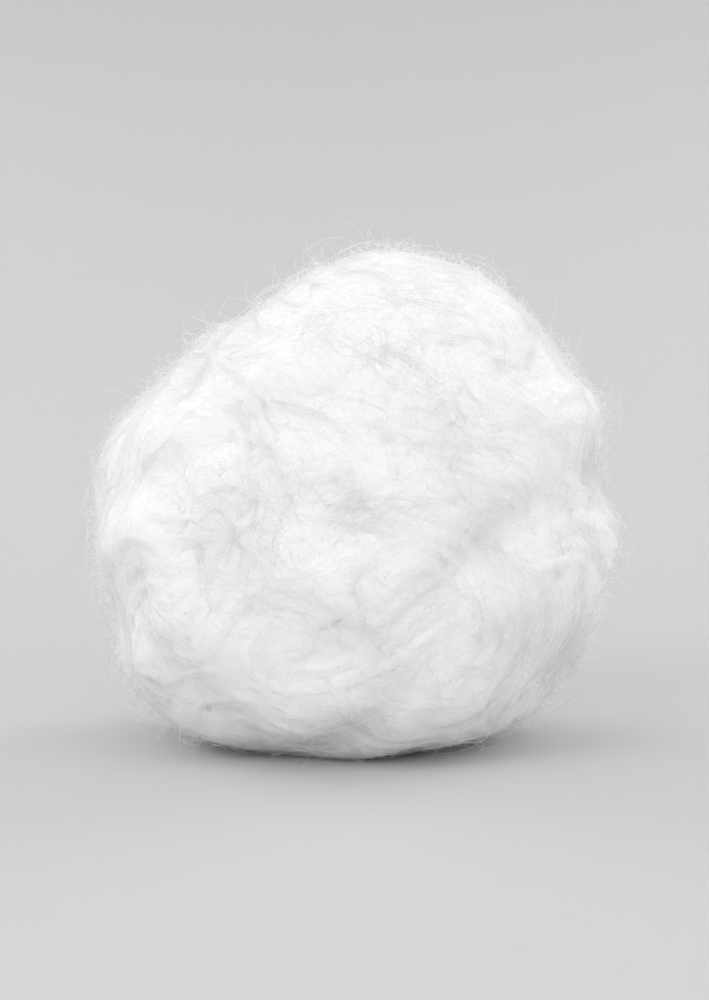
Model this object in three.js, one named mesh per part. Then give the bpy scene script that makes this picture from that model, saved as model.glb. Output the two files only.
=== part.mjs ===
// A cotton wool ball: one loose roll of carded, bleached cotton, torn from a rope of web and tumbled round.
// It is a single soft piece. The web laps over itself along the creases, curls into a spiral at the two ends
// of the roll, and is pressed flat in a few places by the balls it was packed with.
// It lies on its own small flat spot, with +Z up and -Y to the front. Units are millimetres.
import * as THREE from "three";
import { mergeVertices } from "three/addons/utils/BufferGeometryUtils.js";

// Driving dimensions of the ball as it lies.
const WIDTH = 35; // along X
const DEPTH = 34; // along Y
const HEIGHT = 33; // along Z
const SAG = 1.1; // how far the ball settles onto what it lies on
const SAG_EASE = 0.7; // height over which the flat spot eases into the round
const FACE_ROWS = 19; // each icosahedron face is cut into this many rows of triangles

const RADIUS = (WIDTH + DEPTH + HEIGHT) / 6;
const DEGREE = Math.PI / 180;

// The roll's axis leans to the left and back, and longitude 0 faces the front.
const rollAxis = new THREE.Vector3(-0.34, 0.26, 0.9).normalize();
const rollFront = new THREE.Vector3(0, -1, 0).projectOnPlane(rollAxis).normalize();
const rollRight = rollAxis.clone().cross(rollFront);

// Where neighbouring balls pressed it: the way each one faces, and how far out its flat lies, in radii.
const presses = [
  { name: "upper left", towards: [-0.62, -0.1, 0.78], reach: 0.85 },
  { name: "lower left", towards: [-0.97, -0.1, -0.2], reach: 0.96 },
  { name: "below", towards: [-0.1, -0.02, -1], reach: 0.84 },
  { name: "right, behind", towards: [0.8, 0.56, 0.2], reach: 0.95 },
  { name: "behind", towards: [-0.25, 0.93, 0.26], reach: 0.95 },
];
const PRESS_EASE = 5; // how softly each flat runs into the round

// Creases where the web laps over itself. Each follows the roll at a latitude, rising by slope over its length,
// and fades out at both ends. Latitude, longitude and half length are in degrees.
const creases = [
  { name: "front lap", latitude: -16, longitude: 62, halfLength: 88, slope: 0.26, depth: 0.9, width: 1.8 },
  { name: "upper fold", latitude: 18, longitude: -30, halfLength: 66, slope: -0.12, depth: 0.6, width: 1.6 },
  { name: "lower fold", latitude: -52, longitude: -20, halfLength: 66, slope: 0.16, depth: 0.6, width: 1.6 },
  { name: "back lap", latitude: 16, longitude: 190, halfLength: 80, slope: -0.26, depth: 0.9, width: 1.7 },
  { name: "left tuck", latitude: -2, longitude: -92, halfLength: 52, slope: 0.24, depth: 0.6, width: 1.6 },
  { name: "back fold", latitude: -36, longitude: 150, halfLength: 68, slope: -0.1, depth: 0.6, width: 1.7 },
];
const SHOULDER = 0.25; // height of the swell on each side of a crease, as a share of its depth
const SHOULDER_AT = 2.4; // distance of the swell from the crease, in crease widths

// The spiral that the web makes at each end of the roll.
const SPIRAL_PITCH = 17 * DEGREE;
const SPIRAL_EDGE = 32 * DEGREE; // how far from the axis it runs
const SPIRAL_WIDTH = 1.1;
const SPIRAL_DEPTH = 0.45;
const DIMPLE_DEPTH = 0.7;
const DIMPLE_WIDTH = 13 * DEGREE;

// Broad swells of uneven filling: how high, how closely they follow each other, and where they start.
const swells = [
  { height: 0.35, across: [2.1, 1.3, -1.7], start: 0.6 },
  { height: 0.3, across: [-1.5, 2.4, 1.9], start: 2.2 },
  { height: 0.2, across: [3.4, -2.6, 2.9], start: 4.1 },
];

const bell = (distance, width) => Math.exp(-((distance / width) ** 2));

// The smaller of two values, with the step between them eased.
function softMin(a, b, ease) {
  const near = Math.max(1 - Math.abs(a - b) / ease, 0);
  return Math.min(a, b) - (ease / 4) * near * near;
}

// An angle brought into the half turn on either side of 0.
const wrapped = (angle) => angle - 2 * Math.PI * Math.round(angle / (2 * Math.PI));

function pressed(direction, radius) {
  return presses.reduce((r, { towards, reach }) => {
    const facing = direction.dot(new THREE.Vector3(...towards).normalize());
    if (facing <= 0) return r;
    return softMin(r * facing, reach * RADIUS, PRESS_EASE) / facing;
  }, radius);
}

function creased(latitude, longitude) {
  return creases.reduce((height, crease) => {
    const along = wrapped(longitude - crease.longitude * DEGREE);
    const share = along / (crease.halfLength * DEGREE);
    if (Math.abs(share) >= 1) return height;
    const line = crease.latitude * DEGREE + crease.slope * along + 0.05 * Math.sin(4 * along + crease.latitude);
    const away = (latitude - line) * RADIUS;
    const fade = Math.cos((share * Math.PI) / 2) ** 1.5;
    const beside = bell(Math.abs(away) - SHOULDER_AT * crease.width, crease.width);
    return height + crease.depth * fade * (SHOULDER * beside - bell(away, crease.width));
  }, 0);
}

function curled(latitude, longitude) {
  const fromEnd = Math.PI / 2 - Math.abs(latitude);
  if (fromEnd >= SPIRAL_EDGE) return 0;
  const turn = (fromEnd - (SPIRAL_PITCH * longitude) / (2 * Math.PI)) / SPIRAL_PITCH;
  const away = (turn - Math.round(turn)) * SPIRAL_PITCH * RADIUS;
  const fade = Math.cos((fromEnd / SPIRAL_EDGE) * (Math.PI / 2));
  return -SPIRAL_DEPTH * fade * bell(away, SPIRAL_WIDTH) - DIMPLE_DEPTH * bell(fromEnd, DIMPLE_WIDTH);
}

function swollen(direction) {
  return swells.reduce((height, { height: most, across, start }) => {
    return height + most * Math.sin(direction.dot(new THREE.Vector3(...across)) + start);
  }, 0);
}

function surfaceRadius(direction) {
  const latitude = Math.asin(THREE.MathUtils.clamp(direction.dot(rollAxis), -1, 1));
  const longitude = Math.atan2(direction.dot(rollRight), direction.dot(rollFront));
  const round = pressed(direction, RADIUS + swollen(direction));
  return round + creased(latitude, longitude) + curled(latitude, longitude);
}

// Nothing lies below the flat spot, which is truly flat and eases into the round.
function settled(height) {
  if (height >= SAG_EASE) return height;
  return Math.max(height + SAG_EASE, 0) ** 2 / (4 * SAG_EASE);
}

function ballGeometry() {
  const sphere = new THREE.IcosahedronGeometry(1, FACE_ROWS - 1);
  sphere.deleteAttribute("normal");
  sphere.deleteAttribute("uv");
  const ball = mergeVertices(sphere, 1e-5);
  const place = ball.getAttribute("position");
  const point = new THREE.Vector3();
  for (let i = 0; i < place.count; i += 1) {
    point.fromBufferAttribute(place, i).normalize();
    point.multiplyScalar(surfaceRadius(point));
    place.setXYZ(i, point.x, point.y, point.z);
  }
  ball.computeBoundingBox();
  const size = ball.boundingBox.getSize(new THREE.Vector3());
  const middle = ball.boundingBox.getCenter(new THREE.Vector3());
  ball.translate(-middle.x, -middle.y, -ball.boundingBox.min.z);
  ball.scale(WIDTH / size.x, DEPTH / size.y, (HEIGHT + SAG) / size.z);
  ball.translate(0, 0, -SAG);
  for (let i = 0; i < place.count; i += 1) place.setZ(i, settled(place.getZ(i)));
  ball.computeVertexNormals();
  return ball;
}

const bleachedCotton = new THREE.MeshStandardMaterial({ color: "#f5f5f3", roughness: 1, metalness: 0 });

const cottonBall = new THREE.Mesh(ballGeometry(), bleachedCotton);
cottonBall.name = "cotton_ball";

const part = new THREE.Group();
part.name = "cotton_ball_part";
part.add(cottonBall);

export default part;
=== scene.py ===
"""A cotton wool ball: the wadding itself and the fibres that lie on it and stand off it.

Lengths are in metres. The ball lies on the floor at z = 0 with -Y to the front.
"""

import math

import bmesh
import bpy
import numpy as np
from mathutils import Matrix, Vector
from mathutils.bvhtree import BVHTree


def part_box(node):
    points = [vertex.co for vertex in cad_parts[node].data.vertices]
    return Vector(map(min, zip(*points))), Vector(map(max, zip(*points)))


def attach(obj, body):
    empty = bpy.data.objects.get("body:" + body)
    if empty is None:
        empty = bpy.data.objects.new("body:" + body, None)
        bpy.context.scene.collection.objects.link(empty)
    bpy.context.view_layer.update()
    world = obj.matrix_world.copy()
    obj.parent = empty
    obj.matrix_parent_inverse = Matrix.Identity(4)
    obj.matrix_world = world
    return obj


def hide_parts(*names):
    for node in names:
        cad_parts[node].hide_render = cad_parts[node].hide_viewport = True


bl_info = {
    "name": "Cotton Ball",
    "version": (1, 0, 0),
    "blender": (4, 5, 0),
    "location": "View3D > Sidebar > Cotton Ball",
    "description": "Builds a cotton wool ball: its wadding, its fibres and a small studio",
    "category": "Add Mesh",
}

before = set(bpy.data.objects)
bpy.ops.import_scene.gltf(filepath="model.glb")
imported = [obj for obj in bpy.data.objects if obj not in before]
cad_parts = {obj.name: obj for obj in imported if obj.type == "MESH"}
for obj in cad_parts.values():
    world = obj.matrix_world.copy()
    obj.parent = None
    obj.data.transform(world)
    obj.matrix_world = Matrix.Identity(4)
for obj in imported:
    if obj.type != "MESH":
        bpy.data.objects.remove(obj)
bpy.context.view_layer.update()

NODE = "cotton_ball"
BODY = "root"

MM = 0.001
LOW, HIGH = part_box(NODE)
CENTRE = np.array((LOW + HIGH) / 2)
RADIUS = sum(HIGH - LOW) / 6
FLOOR_GAP = 0.03 * MM  # the least height of a fibre over the floor
WELD = 0.01 * MM  # points closer than this are one

# The cotton was rolled up about this axis, which leans to the left and back.
ROLL_AXIS = np.array((-0.34, 0.26, 0.9)) / np.linalg.norm((-0.34, 0.26, 0.9))


# ---------------------------------------------------------------- small helpers


def linear(colour):
    """An sRGB hex colour as linear red, green, blue."""
    parts = [int(colour[i : i + 2], 16) / 255 for i in (1, 3, 5)]
    return tuple(c / 12.92 if c <= 0.04045 else ((c + 0.055) / 1.055) ** 2.4 for c in parts)


def unit(vectors):
    """Vectors, one in each row, brought to length 1."""
    return vectors / np.maximum(np.linalg.norm(vectors, axis=-1, keepdims=True), 1e-12)


def eased(values, low, high):
    """0 at low, 1 at high, and smooth between."""
    share = np.clip((values - low) / (high - low), 0, 1)
    return share * share * (3 - 2 * share)


def link(obj):
    """Puts an object in the scene."""
    bpy.context.scene.collection.objects.link(obj)
    return obj


def new_object(name, mesh, material):
    """An object of that name with a smooth mesh, in place of any earlier one."""
    if name in bpy.data.objects:
        bpy.data.objects.remove(bpy.data.objects[name])
    mesh.polygons.foreach_set("use_smooth", np.ones(len(mesh.polygons), bool))
    mesh.materials.clear()
    mesh.materials.append(material)
    return link(bpy.data.objects.new(name, mesh))


def mesh_of(name, places, faces):
    """A mesh of triangles or quads from arrays of points and of corner numbers."""
    mesh = bpy.data.meshes.new(name)
    corners = faces.shape[1]
    mesh.vertices.add(len(places))
    mesh.vertices.foreach_set("co", places.astype(np.float32).ravel())
    mesh.loops.add(faces.size)
    mesh.loops.foreach_set("vertex_index", faces.astype(np.int32).ravel())
    mesh.polygons.add(len(faces))
    mesh.polygons.foreach_set("loop_start", np.arange(0, faces.size, corners, dtype=np.int32))
    mesh.update(calc_edges=True)
    mesh.validate()
    return mesh


class Waves:
    """A smooth random field, made of plane waves of about the given length along each coordinate."""

    def __init__(self, seed, lengths, count=48):
        rng = np.random.default_rng(seed)
        self.vectors = unit(rng.normal(size=(count, len(lengths)))) * rng.uniform(0.7, 1.4, (count, 1))
        self.vectors *= 2 * np.pi / np.array(lengths)
        self.phases = rng.uniform(0, 2 * np.pi, count)
        self.height = math.sqrt(2 / count)

    def at(self, places):
        """The field, which is mostly between -2 and 2."""
        return self.height * np.sin(places @ self.vectors.T + self.phases).sum(axis=1)

    def slope(self, places):
        """Its slope, a vector for each place."""
        return self.height * np.cos(places @ self.vectors.T + self.phases) @ self.vectors


# ---------------------------------------------------------------- how the fibres lie


class Lay:
    """A way that fibres lie over the ball: round an axis, along lines of equal height that swirls bend."""

    def __init__(self, axis, seed, swirl_length, swirl_height, eddy_length, eddy_height):
        self.axis = np.array(axis) / np.linalg.norm(axis)
        self.swirls = Waves(seed, [swirl_length] * 3)
        self.eddies = Waves(seed + 1, [eddy_length] * 3)
        self.swirl_height, self.eddy_height = swirl_height, eddy_height

    def height(self, places):
        """The height at places, which stays the same all along a fibre."""
        swirls, eddies = self.swirls.at(places), self.eddies.at(places)
        return places @ self.axis + self.swirl_height * swirls + self.eddy_height * eddies

    def slope(self, places):
        swirls, eddies = self.swirls.slope(places), self.eddies.slope(places)
        return self.axis + self.swirl_height * swirls + self.eddy_height * eddies

    def lie(self, outward, pull):
        """The way of the fibres where unit vectors leave the ball, each drawn aside by its own pull."""
        return unit(np.cross(outward, self.slope(outward * RADIUS) + pull))


# The web winds round the roll, and some of it was pulled across when the ball was tumbled.
ROLLED = Lay(ROLL_AXIS, 11, 26 * MM, 2.4 * MM, 9 * MM, 0.4 * MM)
CROSSED = Lay((0.62, 0.5, 0.6), 14, 22 * MM, 3.0 * MM, 8 * MM, 0.5 * MM)


def turned(headings, outward, angle):
    """Headings turned about the outward direction by an angle, in radians."""
    return headings * np.cos(angle)[:, None] + np.cross(outward, headings) * np.sin(angle)[:, None]


# ---------------------------------------------------------------- materials


def add_node(tree, kind, links=(), **settings):
    """Adds a shader node. Links are pairs of an input and the output that feeds it.

    Settings that name an input set it, and the others set the node.
    """
    node = tree.nodes.new(kind)
    for name, value in settings.items():
        socket = node.inputs.get(name.replace("_", " ").title())
        if socket is None:
            setattr(node, name, value)
        else:
            socket.default_value = value
    for name, output in links:
        tree.links.new(output, node.inputs[name])
    return node


def new_material(name):
    """An empty material with a Principled shader on its output."""
    material = bpy.data.materials.get(name) or bpy.data.materials.new(name)
    material.use_nodes = True
    tree = material.node_tree
    tree.nodes.clear()
    shader = tree.nodes.new("ShaderNodeBsdfPrincipled")
    output = tree.nodes.new("ShaderNodeOutputMaterial")
    tree.links.new(shader.outputs["BSDF"], output.inputs["Surface"])
    return material, tree, shader


def set_inputs(shader, values):
    """Sets inputs of a shader by their names."""
    for name, value in values.items():
        shader.inputs[name].default_value = value


COTTON_IOR = 1.53  # cellulose, across the fibre
STRAND_RELIEF = 0.14 * MM  # from between the strands to their tops


def carded_wadding(finish):
    """Bleached cotton, carded and rolled: matt, and lit from within by light that wanders in it."""
    material, tree, shader = new_material("bleached_cotton_carded_wadding")
    set_inputs(
        shader,
        {
            "IOR": COTTON_IOR,
            "Specular IOR Level": 0.2,
            "Subsurface Weight": 0.6,
            "Subsurface Radius": (1.0, 1.0, 1.0),
            "Subsurface Scale": finish.glow,
            "Sheen Weight": 0.25,
            "Sheen Roughness": 0.6,
        },
    )
    # Real fibres are 0.015 to 0.02 mm thick, too fine to show. They are drawn as strands of about 0.35 mm,
    # with finer ones inside, that run along the lie of the web.
    place = add_node(tree, "ShaderNodeTexCoord").outputs["Object"]
    slow = add_node(
        tree, "ShaderNodeVectorMath", [("Vector", place)], operation="SCALE", scale=1 / finish.strand_length
    ).outputs["Vector"]
    strands = []
    for lay in ("rolled_height", "crossed_height"):
        height = add_node(tree, "ShaderNodeAttribute", attribute_name=lay)
        fast = add_node(tree, "ShaderNodeMath", [(0, height.outputs["Fac"])], operation="MULTIPLY")
        fast.inputs[1].default_value = 1 / finish.strand_width
        strands.append(
            add_node(
                tree,
                "ShaderNodeTexNoise",
                [("Vector", slow), ("W", fast.outputs["Value"])],
                noise_dimensions="4D",
                scale=1.0,
                detail=3.0,
                roughness=0.65,
            ).outputs["Fac"]
        )
    patch = add_node(tree, "ShaderNodeAttribute", attribute_name="patch").outputs["Fac"]
    laid = add_node(
        tree, "ShaderNodeMix", [("Factor", patch), ("A", strands[0]), ("B", strands[1])], data_type="FLOAT"
    ).outputs["Result"]
    # Painted shade: the cotton is coloured darker between the strands and lighter on their tops.
    shade = add_node(tree, "ShaderNodeMapRange", [("Value", laid)], from_min=0.3, from_max=0.7)
    body = add_node(tree, "ShaderNodeMixRGB", [("Fac", shade.outputs["Result"])])
    body.inputs["Color1"].default_value = (*finish.shade_and_unripe_colour, 1)
    body.inputs["Color2"].default_value = (*finish.lit_colour, 1)
    # Painted shade: the cotton is coloured darker still deep in a crease.
    hollow = add_node(tree, "ShaderNodeAttribute", attribute_name="hollow").outputs["Fac"]
    deep = add_node(tree, "ShaderNodeMixRGB", [("Fac", hollow), ("Color1", body.outputs["Color"])])
    deep.inputs["Color2"].default_value = (*finish.crease_shade_colour, 1)
    tree.links.new(deep.outputs["Color"], shader.inputs["Base Color"])
    rough = add_node(tree, "ShaderNodeMapRange", [("Value", laid)], to_min=1.0, to_max=0.85)
    tree.links.new(rough.outputs["Result"], shader.inputs["Roughness"])
    bump = add_node(tree, "ShaderNodeBump", [("Height", laid)], strength=0.6, distance=STRAND_RELIEF)
    tree.links.new(bump.outputs["Normal"], shader.inputs["Normal"])
    return material


# A cotton fibre is a flat ribbon that twists some 3 to 6 times in each millimetre.
TWIST_LENGTH = 0.25 * MM


def loose_fibre(name, finish):
    """Single bleached cotton fibres: thin, matt and translucent, twisted so that they glint by turns."""
    material, tree, shader = new_material(name)
    set_inputs(
        shader,
        {
            "IOR": COTTON_IOR,
            "Specular IOR Level": 0.3,
            "Subsurface Weight": 1.0,
            "Subsurface Radius": (1.0, 1.0, 1.0),
            "Subsurface Scale": 0.05 * MM,
            "Sheen Weight": 0.15,
            "Sheen Roughness": 0.5,
        },
    )
    place = add_node(tree, "ShaderNodeTexCoord").outputs["Object"]
    twist = add_node(
        tree, "ShaderNodeTexNoise", [("Vector", place)], scale=1 / TWIST_LENGTH, detail=1.0
    ).outputs["Fac"]
    ripeness = add_node(tree, "ShaderNodeAttribute", attribute_name="ripeness").outputs["Fac"]
    shade = add_node(tree, "ShaderNodeMixRGB", [("Fac", ripeness)])
    shade.inputs["Color1"].default_value = (*finish.shade_and_unripe_colour, 1)
    shade.inputs["Color2"].default_value = (*finish.fibre_colour, 1)
    tree.links.new(shade.outputs["Color"], shader.inputs["Base Color"])
    rough = add_node(
        tree, "ShaderNodeMapRange", [("Value", twist)], from_min=0.3, from_max=0.7, to_min=0.6, to_max=0.95
    )
    tree.links.new(rough.outputs["Result"], shader.inputs["Roughness"])
    return material


ROLLER_GRAIN = 1.2 * MM  # the stipple that a foam roller leaves
STIPPLE_RELIEF = 0.02 * MM


def painted_board(colour):
    """Matt emulsion rolled on smooth board: even and without gloss, with a faint stipple."""
    material, tree, shader = new_material("matt_emulsion_on_board")
    set_inputs(shader, {"Base Color": (*colour, 1), "Specular IOR Level": 0.2})
    place = add_node(tree, "ShaderNodeTexCoord").outputs["Object"]
    stipple = add_node(
        tree, "ShaderNodeTexNoise", [("Vector", place)], scale=1 / ROLLER_GRAIN, detail=2.0
    ).outputs["Fac"]
    rough = add_node(tree, "ShaderNodeMapRange", [("Value", stipple)], to_min=0.85, to_max=1.0)
    tree.links.new(rough.outputs["Result"], shader.inputs["Roughness"])
    bump = add_node(tree, "ShaderNodeBump", [("Height", stipple)], strength=0.15, distance=STIPPLE_RELIEF)
    tree.links.new(bump.outputs["Normal"], shader.inputs["Normal"])
    return material


# ---------------------------------------------------------------- settings


def length(name, description, default):
    """A setting that is a length."""
    return bpy.props.FloatProperty(
        name=name, description=description, default=default, precision=6, subtype="DISTANCE", unit="LENGTH"
    )


def colour(name, description, default):
    """A setting that is a colour, from its sRGB hex value."""
    return bpy.props.FloatVectorProperty(
        name=name, description=description, default=linear(default), min=0, max=1, size=3, subtype="COLOR"
    )


def number(name, description, default):
    """A setting that is a count of fibres, at least enough for one wisp."""
    return bpy.props.IntProperty(name=name, description=description, default=default, min=4)


class CottonWaddingSettings(bpy.types.PropertyGroup):
    """Sizes of the wadding."""

    puff_height: length("Puff height", "Height of the soft lumps of uneven filling", 0.19 * MM)
    lock_height: length("Lock height", "Height of the broad locks of web over each other", 0.08 * MM)
    ridge_height: length("Ridge height", "Height of the wisps drawn out along the web", 0.045 * MM)
    wisp_height: length("Wisp height", "Height of the finest wisps", 0.035 * MM)
    crease_gain: bpy.props.FloatProperty(
        name="Crease gain", description="How much deeper the creases get, in their own depths", default=0.25
    )
    subdivisions: bpy.props.IntProperty(
        name="Subdivisions", description="How often each face is divided in four", default=2, min=0, max=3
    )


class CottonFinishSettings(bpy.types.PropertyGroup):
    """Colours and scales of the cotton."""

    # Painted light and shade: the cotton is coloured lighter where strands stand out and darker between
    # them. The colour between strands is also the real colour of unripe fibres.
    lit_colour: colour("Cotton", "Colour of the cotton where it stands out", "#FAFBFA")
    shade_and_unripe_colour: colour("Between strands", "Colour of the cotton between strands", "#F1F2F1")
    # Painted shade: the cotton is coloured darker deep in a crease.
    crease_shade_colour: colour("In creases", "Colour of the cotton deep in a crease", "#EDEEED")
    fibre_colour: colour("Fibre", "Colour of the fibres on top", "#F9FAF9")
    glow: length("Glow", "How far light wanders in the wadding", 1.6 * MM)
    strand_width: length("Strand width", "Width of the fine strands in the surface", 0.35 * MM)
    strand_length: length("Strand length", "How far a fine strand keeps its place", 5 * MM)


class CottonFibreSettings(bpy.types.PropertyGroup):
    """Sizes of the separate fibres."""

    thickness: length("Fibre thickness", "Thickness of a drawn fibre, more than a real one", 0.034 * MM)
    lying_length: length("Lying length", "Mean length of a fibre that lies on the ball", 7.5 * MM)
    lying_count: number("Lying fibres", "How many fibres lie alone", 3960)
    wisp_count: number("Fibres in wisps", "How many fibres lie in wisps", 2000)
    short_length: length("Short fuzz length", "Mean length of the shortest fibres that stand off", 0.9 * MM)
    short_count: number("Short fuzz", "How many of the shortest fibres stand off", 9900)
    long_length: length("Long fuzz length", "Mean length of the longer fibres that stand off", 1.9 * MM)
    long_count: number("Long fuzz", "How many of the longer fibres stand off", 5000)
    loose_length: length("Loose length", "Mean length of the loose strands", 8 * MM)
    loose_count: number("Loose strands", "How many long strands lift off", 1500)


class CottonStageSettings(bpy.types.PropertyGroup):
    """The studio round the ball."""

    backdrop_colour: colour("Backdrop", "Colour of the floor and backdrop", "#CDCECE")
    focal_length: bpy.props.FloatProperty(
        name="Focal length", description="Of the camera, in millimetres", default=100, unit="CAMERA"
    )
    camera_height: bpy.props.FloatProperty(
        name="Camera angle",
        description="How far above level it looks down from",
        default=math.radians(5),
        subtype="ANGLE",
        unit="ROTATION",
    )
    framing: bpy.props.FloatProperty(
        name="Framing", description="Width of the ball as a share of the picture", default=0.76
    )


SETTINGS = {
    "cotton_wadding": CottonWaddingSettings,
    "cotton_finish": CottonFinishSettings,
    "cotton_fibres": CottonFibreSettings,
    "cotton_stage": CottonStageSettings,
}


# ---------------------------------------------------------------- wadding


def fine_copy(node, levels):
    """A welded copy of a CAD node's mesh, subdivided."""
    bm = bmesh.new()
    bm.from_mesh(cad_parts[node].data)
    bmesh.ops.remove_doubles(bm, verts=bm.verts, dist=WELD)
    coarse = bpy.data.meshes.new("coarse")
    bm.to_mesh(coarse)
    bm.free()
    holder = link(bpy.data.objects.new("coarse", coarse))
    divide = holder.modifiers.new("divide", "SUBSURF")
    divide.levels = divide.render_levels = levels
    fine = bpy.data.meshes.new_from_object(holder.evaluated_get(bpy.context.evaluated_depsgraph_get()))
    bpy.data.objects.remove(holder)
    bpy.data.meshes.remove(coarse)
    return fine


def get_vectors(collection, field):
    """A vector field of all the items of a mesh, one in each row."""
    values = np.empty(len(collection) * 3, np.float32)
    collection.foreach_get(field, values)
    return values.reshape(-1, 3).astype(float)


def spread(mesh, values, times):
    """Values at the vertices, each brought to the mean of its neighbours, several times over."""
    ends = np.empty(len(mesh.edges) * 2, np.int32)
    mesh.edges.foreach_get("vertices", ends)
    one, other = ends[0::2], ends[1::2]
    count = len(values)
    neighbours = np.bincount(ends, minlength=count)
    for _ in range(times):
        total = np.bincount(one, values[other], count) + np.bincount(other, values[one], count)
        values = total / neighbours
    return values


def write_values(mesh, name, values):
    """Writes one value for each vertex, for the materials to read."""
    attribute = mesh.attributes.new(name, "FLOAT", "POINT")
    attribute.data.foreach_set("value", values.astype(np.float32))


PUFF_WIDTH = 7 * MM  # of the soft lumps of uneven filling
PATCH_WIDTH = 9 * MM  # the rolled and the crossed lay take turns over patches this wide
PATCH_EDGE = 0.25  # how softly they change over
HOLLOW_SPREAD = 140  # rounds of averaging that smooth the creases out of the ball
HOLLOW_FULL = 0.5 * MM  # a crease this deep is fully in shade
RAISED_ABOVE = 2 * MM  # the flat spot stays flat, and the relief is whole from this height

# How wide and how long the streaks of the relief are.
LOCK_WIDTH, LOCK_LENGTH = 3.2 * MM, 16 * MM
LOCK_EDGE = 0.4  # how much of a lock's rise is its edge
RIDGE_WIDTH, RIDGE_LENGTH = 0.9 * MM, 8 * MM
WISP_WIDTH, WISP_LENGTH = 0.45 * MM, 5 * MM


def drawn_out(lay, seed, width, reach, places, count=96):
    """A random field drawn out along a lay, in streaks of that width."""
    return Waves(seed, [width] + [reach] * 3, count).at(np.column_stack([lay.height(places), places]))


def wisps(lay, seed, places, sizes):
    """The height of the locks, ridges and wisps of one lay, less where its lines crowd together."""
    steepness = np.linalg.norm(np.cross(unit(places), lay.slope(places)), axis=1)
    lock = eased(drawn_out(lay, seed, LOCK_WIDTH, LOCK_LENGTH, places), -LOCK_EDGE, LOCK_EDGE) - 0.5
    ridge = drawn_out(lay, seed + 1, RIDGE_WIDTH, RIDGE_LENGTH, places)
    wisp = drawn_out(lay, seed + 2, WISP_WIDTH, WISP_LENGTH, places)
    height = sizes.lock_height * lock + sizes.ridge_height * ridge + sizes.wisp_height * wisp
    return height / np.maximum(steepness, 1)


def build_wadding(sizes, finish):
    """The rolled web: the ball's form with deeper creases, and locks, ridges and wisps along the lie."""
    mesh = fine_copy(NODE, sizes.subdivisions)
    places = get_vectors(mesh.vertices, "co")
    normals = get_vectors(mesh.vertex_normals, "vector")
    outward = unit(places - CENTRE)
    on_round = outward * RADIUS

    distance = np.linalg.norm(places - CENTRE, axis=1)
    hollow = spread(mesh, distance, HOLLOW_SPREAD) - distance
    patch = eased(Waves(20, [PATCH_WIDTH] * 3).at(on_round), -PATCH_EDGE, PATCH_EDGE)
    rise = sizes.puff_height * Waves(19, [PUFF_WIDTH] * 3).at(on_round)
    rise += wisps(ROLLED, 21, on_round, sizes) * (1 - patch) + wisps(CROSSED, 24, on_round, sizes) * patch
    rise -= sizes.crease_gain * np.maximum(hollow, 0)
    above_floor = eased(places[:, 2], 0, RAISED_ABOVE)
    places += normals * (rise * above_floor)[:, None]
    places[:, 2] = np.maximum(places[:, 2], 0)
    mesh.vertices.foreach_set("co", places.astype(np.float32).ravel())
    mesh.update()
    write_values(mesh, "rolled_height", ROLLED.height(on_round))
    write_values(mesh, "crossed_height", CROSSED.height(on_round))
    write_values(mesh, "patch", patch)
    # How deep each point lies in a crease, read by the material as painted crease shade.
    write_values(mesh, "hollow", np.clip(hollow / HOLLOW_FULL, 0, 1))
    return new_object("cotton_wadding", mesh, carded_wadding(finish))


# ---------------------------------------------------------------- fibres

SIDES = 3  # a fibre is far too thin to show more
PRESSED_BELOW = 3 * MM  # the fibres lie closer where the ball's weight presses on them, up to this height
PRESSED_SHARE = 0.2  # what is left of their own height right at the floor
WISP_SPREAD = 0.2 * MM  # how far the fibres of a wisp stand apart
ROOT_DEPTH = 0.08 * MM  # how far the ends of a fibre sink into the wadding
FUZZ_FULLNESS, LOOSE_FULLNESS = 0.75, 0.8  # their part of the drawn thickness
FREE_SHARE = 0.35  # this share of the loose strands ends in the air
LOOSE_RISE = 0.35 * MM  # most loose strands rise up to three times this
LOOSE_MOST = 2.6 * MM  # the most that they rise

# The fibres that lie on the wadding: their lay, how far they stray from it, how high they rise, their part
# of the drawn thickness, and how many cling together in a wisp.
LYING = {
    "lying_fibres": dict(seed=31, lay=ROLLED, stray=0.5, rise=0.12 * MM, fullness=1.0, together=1),
    "lying_wisps": dict(seed=32, lay=CROSSED, stray=1.0, rise=0.13 * MM, fullness=0.7, together=4),
}


class Surface:
    """The surface of a piece, met along straight lines from the middle of the ball."""

    def __init__(self, obj):
        self.tree = BVHTree.FromObject(obj, bpy.context.evaluated_depsgraph_get())

    def reach(self, outward):
        """How far the surface is from the middle, along each unit vector."""
        origin = Vector(CENTRE)
        hits = (self.tree.ray_cast(origin, Vector(way), 2 * RADIUS)[3] for way in outward)
        return np.array([RADIUS if hit is None else hit for hit in hits])

    def raised(self, walked, heights):
        """Walks over the ball, brought to their heights over the surface."""
        reach = self.reach(walked.reshape(-1, 3)).reshape(heights.shape)
        from_floor = CENTRE[2] + walked[..., 2] * reach
        freedom = PRESSED_SHARE + (1 - PRESSED_SHARE) * eased(from_floor, 0, PRESSED_BELOW)
        return CENTRE + walked * (reach + heights * freedom)[..., None]


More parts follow.
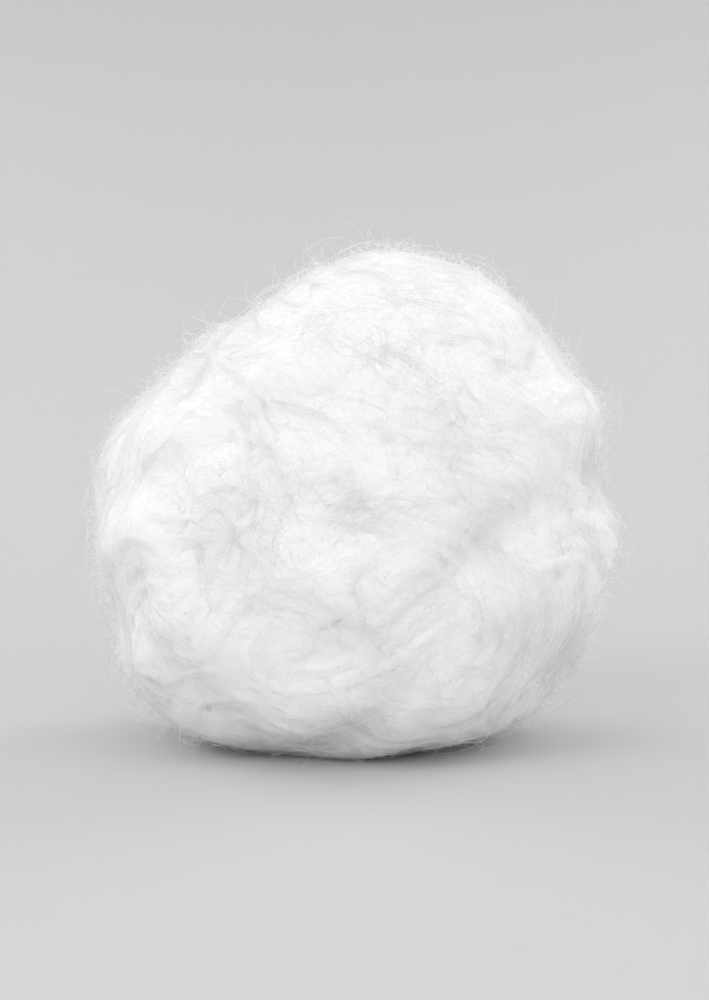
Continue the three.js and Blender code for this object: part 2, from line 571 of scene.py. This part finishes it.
def tubes(name, paths, thickness, material):
    """Closed tubes along paths, an array of strands by points by 3. Their ends are drawn out thin."""
    strands, points, _ = paths.shape
    paths[..., 2] = np.maximum(paths[..., 2], FLOOR_GAP + thickness / 2)
    along = unit(np.gradient(paths, axis=1))
    aside = unit(np.cross(along, unit(paths - CENTRE)))
    above = np.cross(along, aside)
    radius = thickness / 2 * (1 - 0.75 * np.linspace(-1, 1, points) ** 4)
    corner = np.arange(SIDES) * 2 * np.pi / SIDES
    ring = np.cos(corner)[:, None] * aside[:, :, None] + np.sin(corner)[:, None] * above[:, :, None]
    places = paths[:, :, None] + ring * radius[None, :, None, None]

    first = np.arange(points - 1)[:, None] * SIDES + np.arange(SIDES)
    second = np.arange(points - 1)[:, None] * SIDES + (np.arange(SIDES) + 1) % SIDES
    quads = np.stack([first, second, second + SIDES, first + SIDES], axis=-1).reshape(-1, 4)
    sides = np.concatenate([quads[:, [0, 1, 2]], quads[:, [0, 2, 3]]])
    ends = np.array([[2, 1, 0], (points - 1) * SIDES + np.arange(SIDES)])
    starts = np.arange(strands) * points * SIDES
    faces = (np.concatenate([sides, ends])[None] + starts[:, None, None]).reshape(-1, 3)
    mesh = mesh_of(name, places.reshape(-1, 3), faces)

    # Ripe fibres are whiter than the few unripe ones among them.
    ripeness = np.random.default_rng(strands).beta(2, 1, strands)
    write_values(mesh, "ripeness", np.repeat(ripeness, points * SIDES))
    return new_object(name, mesh, material)


def walks(rng, lay, lengths, points, stray, bend, crimp, together=1):
    """Walks of those lengths over the ball, as unit vectors: an array of strands by points by 3.

    Each follows the lay, drawn aside by a pull of its own, bends steadily and is crimped from side to side.
    Those that cling together in one wisp differ only a little.
    """
    groups = len(lengths) // together

    def shared(values, apart):
        """The values of the groups, given to all their fibres with small differences."""
        every = np.repeat(values, together, axis=0)
        return every + rng.normal(0, apart, every.shape) * (together > 1)

    # The last number of each is how far it differs between the fibres of one wisp.
    outward = unit(shared(unit(rng.normal(size=(groups, 3))), WISP_SPREAD / RADIUS))
    pull = shared(rng.normal(0, stray, (groups, 3)), 0.07)
    steady = shared(rng.normal(0, bend, groups), 0.2)
    phase = shared(rng.uniform(0, 2 * np.pi, groups), 0.3)
    rate = shared(rng.uniform(1.5, 4, groups) * np.pi, 0.4)
    step = lengths / (points - 1) / RADIUS
    walked = [outward]
    for share in np.linspace(0, 1, points)[1:]:
        angle = steady * share + crimp * np.sin(rate * share + phase)
        heading = turned(lay.lie(outward, pull), outward, angle)
        outward = unit(outward + heading * step[:, None])
        walked.append(outward)
    return np.stack(walked, axis=1)


def spread_lengths(rng, mean, count):
    """Lengths that differ round a mean, with none very short or very long."""
    return mean * np.clip(rng.normal(1, 0.28, count), 0.45, 1.8)


def build_lying(name, seed, lay, stray, rise, fullness, together, sizes, surface, material):
    """Long fibres that lie along the web and dip in and out of it, alone or in wisps."""
    rng = np.random.default_rng(seed)
    groups = (sizes.wisp_count if together > 1 else sizes.lying_count) // together
    points = 9
    lengths = np.repeat(spread_lengths(rng, sizes.lying_length, groups), together)
    walked = walks(rng, lay, lengths, points, stray, bend=0.8, crimp=0.4, together=together)
    arch = np.sin(np.pi * np.linspace(0, 1, points)) ** 0.7
    top = np.repeat(rng.gamma(1.6, rise / 1.6, groups), together) * rng.uniform(0.6, 1.4, len(lengths))
    heights = top[:, None] * arch - ROOT_DEPTH * (1 - arch)
    return tubes(name, surface.raised(walked, heights), fullness * sizes.thickness, material)


def build_fuzz(name, seed, mean, count, points, sizes, surface, material):
    """Short fibres that stand off the ball at all angles and curl over."""
    rng = np.random.default_rng(seed)
    lengths = mean * np.clip(rng.gamma(3.5, 1 / 3.5, count), 0.3, 2.2)
    tilt = rng.uniform(0.1, 0.95, count)
    walked = walks(rng, CROSSED, lengths * (1 - 0.5 * tilt), points, stray=1.6, bend=1.8, crimp=0.6)
    share = np.linspace(0, 1, points)
    rise = (lengths * tilt)[:, None] * share ** rng.uniform(0.7, 1.6, count)[:, None]
    curl = rng.uniform(0, 0.6, count)[:, None] * share**3
    heights = rise * (1 - curl) - ROOT_DEPTH * (1 - share)
    return tubes(name, surface.raised(walked, heights), FUZZ_FULLNESS * sizes.thickness, material)


def build_loose(sizes, surface, material):
    """Long strands that leave the ball in loops, and some that end in the air."""
    rng = np.random.default_rng(51)
    count, points = sizes.loose_count, 14
    lengths = spread_lengths(rng, sizes.loose_length, count)
    walked = walks(rng, ROLLED, lengths, points, stray=0.8, bend=2.2, crimp=0.7)
    share = np.linspace(0, 1, points)
    free = rng.uniform(size=count) < FREE_SHARE
    shape = np.where(free[:, None], eased(share, 0.25, 1.0), np.sin(np.pi * share))
    wave = 1 + 0.25 * np.sin(rng.uniform(4, 9, count)[:, None] * share + rng.uniform(0, 6, count)[:, None])
    top = np.minimum(rng.gamma(1.6, LOOSE_RISE, count), LOOSE_MOST)
    heights = top[:, None] * shape * wave - ROOT_DEPTH * (1 - shape)
    paths = surface.raised(walked, heights)
    return tubes("loose_strands", paths, LOOSE_FULLNESS * sizes.thickness, material)


# ---------------------------------------------------------------- operators


def settle(piece, clear=False):
    """A piece moves with the ball. A clear one casts no shadow."""
    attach(piece, BODY)
    piece.visible_shadow = not clear
    return piece


class COTTON_OT_wadding(bpy.types.Operator):
    """Roll the wadding, the body of the ball"""

    bl_idname = "cotton.wadding"
    bl_label = "Roll Wadding"

    def execute(self, context):
        scene = context.scene
        wadding = settle(build_wadding(scene.cotton_wadding, scene.cotton_finish))
        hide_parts(NODE)
        return {"FINISHED"}


class COTTON_OT_lying_fibres(bpy.types.Operator):
    """Lay the fibres that follow the web over the wadding"""

    bl_idname = "cotton.lying_fibres"
    bl_label = "Lay Fibres"

    def execute(self, context):
        scene = context.scene
        surface = Surface(bpy.data.objects["cotton_wadding"])
        material = loose_fibre("bleached_cotton_combed_fibre", scene.cotton_finish)
        sizes = scene.cotton_fibres
        for name, kind in LYING.items():
            piece = build_lying(name, **kind, sizes=sizes, surface=surface, material=material)
            settle(piece, clear=kind["together"] == 1)
        return {"FINISHED"}


class COTTON_OT_fuzz(bpy.types.Operator):
    """Raise the short fuzz on the wadding"""

    bl_idname = "cotton.fuzz"
    bl_label = "Raise Fuzz"

    def execute(self, context):
        scene = context.scene
        surface = Surface(bpy.data.objects["cotton_wadding"])
        material = loose_fibre("bleached_cotton_loose_fibre", scene.cotton_finish)
        sizes = scene.cotton_fibres
        made_with = {"sizes": sizes, "surface": surface, "material": material}
        short = build_fuzz("short_fuzz", 41, sizes.short_length, sizes.short_count, 4, **made_with)
        long = build_fuzz("long_fuzz", 42, sizes.long_length, sizes.long_count, 6, **made_with)
        loose = build_loose(**made_with)
        for piece in (short, long, loose):
            settle(piece, clear=True)
        return {"FINISHED"}


# ---------------------------------------------------------------- stage

STAGE_HUB = 0.002  # radius of the face in the middle of the floor
STAGE_FLAT = 0.14  # radius of the flat floor
STAGE_SWEEP = 0.65  # radius of the sweep from floor to wall
STAGE_WALL = 0.15  # height of the wall over the sweep
STAGE_TURNS = 96
STAGE_RINGS = 12  # in the flat floor
STAGE_STEPS = 16  # in the sweep
SENSOR = 36.0  # the camera's sensor along the picture's long side, in millimetres
PICTURE = (709, 1000)  # its width and height
WORLD_LIGHT = 0.81  # strength of the even white light from all round

# Each soft box: where it stands, its width and its power in watts.
SOFT_BOXES = {
    "key_soft_box": ((-0.3, -0.38, 0.28), 0.34, 0.92),
    "fill_soft_box": ((0.4, -0.36, 0.16), 0.4, 0.85),
    "low_soft_box": ((0.05, -0.52, 0.07), 0.36, 1.15),
    "back_right_soft_box": ((0.38, 0.3, 0.18), 0.3, 1.0),
    "back_left_soft_box": ((-0.38, 0.3, 0.15), 0.3, 1.0),
}


def build_backdrop(material):
    """A round pale floor that sweeps up into a wall all round."""
    arc = np.linspace(0, math.pi / 2, STAGE_STEPS + 1)[1:]
    flat = np.linspace(STAGE_HUB, STAGE_FLAT, STAGE_RINGS)
    rim = STAGE_FLAT + STAGE_SWEEP
    radii = np.concatenate([flat, STAGE_FLAT + STAGE_SWEEP * np.sin(arc), [rim]])
    heights = np.concatenate([0 * flat, STAGE_SWEEP * (1 - np.cos(arc)), [STAGE_SWEEP + STAGE_WALL]])
    turn = np.arange(STAGE_TURNS) * 2 * np.pi / STAGE_TURNS
    ring = np.stack([np.cos(turn), np.sin(turn), np.zeros(STAGE_TURNS)], axis=-1)
    places = ring[None] * radii[:, None, None] + np.array((0, 0, 1)) * heights[:, None, None]
    row = np.arange(len(radii) - 1)[:, None] * STAGE_TURNS
    here, beside = np.arange(STAGE_TURNS), (np.arange(STAGE_TURNS) + 1) % STAGE_TURNS
    next_row = row + STAGE_TURNS
    faces = np.stack([row + here, next_row + here, next_row + beside, row + beside], axis=-1)
    mesh = mesh_of("backdrop", places.reshape(-1, 3), faces.reshape(-1, 4))
    bm = bmesh.new()
    bm.from_mesh(mesh)
    bm.verts.ensure_lookup_table()
    bm.faces.new([bm.verts[int(i)] for i in here])
    bm.to_mesh(mesh)
    bm.free()
    return new_object("backdrop", mesh, material)


def aimed(obj, target):
    """Turns a light or camera to look at a point."""
    obj.rotation_mode = "QUATERNION"
    obj.rotation_quaternion = (Vector(target) - obj.location).to_track_quat("-Z", "Y")
    return obj


def add_soft_box(name, place, width, power):
    """A square area light that faces the ball and isn't seen itself."""
    light = bpy.data.lights.new(name, "AREA")
    light.shape = "SQUARE"
    light.size = width
    light.energy = power
    box = link(bpy.data.objects.new(name, light))
    box.location = place
    box.visible_camera = False
    return aimed(box, CENTRE)


def add_camera(stage):
    """A camera a little above level, square on to the ball's front."""
    camera = link(bpy.data.objects.new("camera", bpy.data.cameras.new("camera")))
    camera.data.lens = stage.focal_length
    camera.data.sensor_width = SENSOR
    camera.data.clip_start = 0.01
    camera.data.clip_end = 10
    half_width = SENSOR / 2 * PICTURE[0] / PICTURE[1] / stage.focal_length
    ball_width = HIGH.x - LOW.x
    away = ball_width / stage.framing / 2 / half_width + (HIGH.y - LOW.y) / 4
    angle = stage.camera_height
    camera.location = Vector(CENTRE) + away * Vector((0, -math.cos(angle), math.sin(angle)))
    bpy.context.scene.camera = aimed(camera, CENTRE)
    return camera


class COTTON_OT_stage(bpy.types.Operator):
    """Set the pale floor, the soft lights and the camera"""

    bl_idname = "cotton.stage"
    bl_label = "Set Stage"

    def execute(self, context):
        stage = context.scene.cotton_stage
        build_backdrop(painted_board(stage.backdrop_colour))
        for name, (place, width, power) in SOFT_BOXES.items():
            add_soft_box(name, place, width, power)
        world = bpy.data.worlds.new("studio")
        context.scene.world = world
        world.use_nodes = True
        world.node_tree.nodes["Background"].inputs["Color"].default_value = (1, 1, 1, 1)
        world.node_tree.nodes["Background"].inputs["Strength"].default_value = WORLD_LIGHT
        context.scene.view_settings.view_transform = "Standard"
        add_camera(stage)
        return {"FINISHED"}


class COTTON_PT_panel(bpy.types.Panel):
    """The pieces of the ball and their settings"""

    bl_idname = "COTTON_PT_panel"
    bl_label = "Cotton Ball"
    bl_space_type = "VIEW_3D"
    bl_region_type = "UI"
    bl_category = "Cotton Ball"

    def draw(self, context):
        for operator in OPERATORS:
            self.layout.operator(operator.bl_idname)
        for name, group in SETTINGS.items():
            box = self.layout.box()
            box.label(text=group.__doc__)
            for setting in group.__annotations__:
                box.prop(getattr(context.scene, name), setting)


OPERATORS = (COTTON_OT_stage, COTTON_OT_wadding, COTTON_OT_lying_fibres, COTTON_OT_fuzz)
CLASSES = (*SETTINGS.values(), *OPERATORS, COTTON_PT_panel)


def register():
    for cls in CLASSES:
        bpy.utils.register_class(cls)
    for name, group in SETTINGS.items():
        setattr(bpy.types.Scene, name, bpy.props.PointerProperty(type=group))


def unregister():
    for name in SETTINGS:
        delattr(bpy.types.Scene, name)
    for cls in reversed(CLASSES):
        bpy.utils.unregister_class(cls)


def main():
    register()
    bpy.ops.cotton.stage()
    bpy.ops.cotton.wadding()
    bpy.ops.cotton.lying_fibres()
    bpy.ops.cotton.fuzz()


if __name__ == "__main__":
    main()
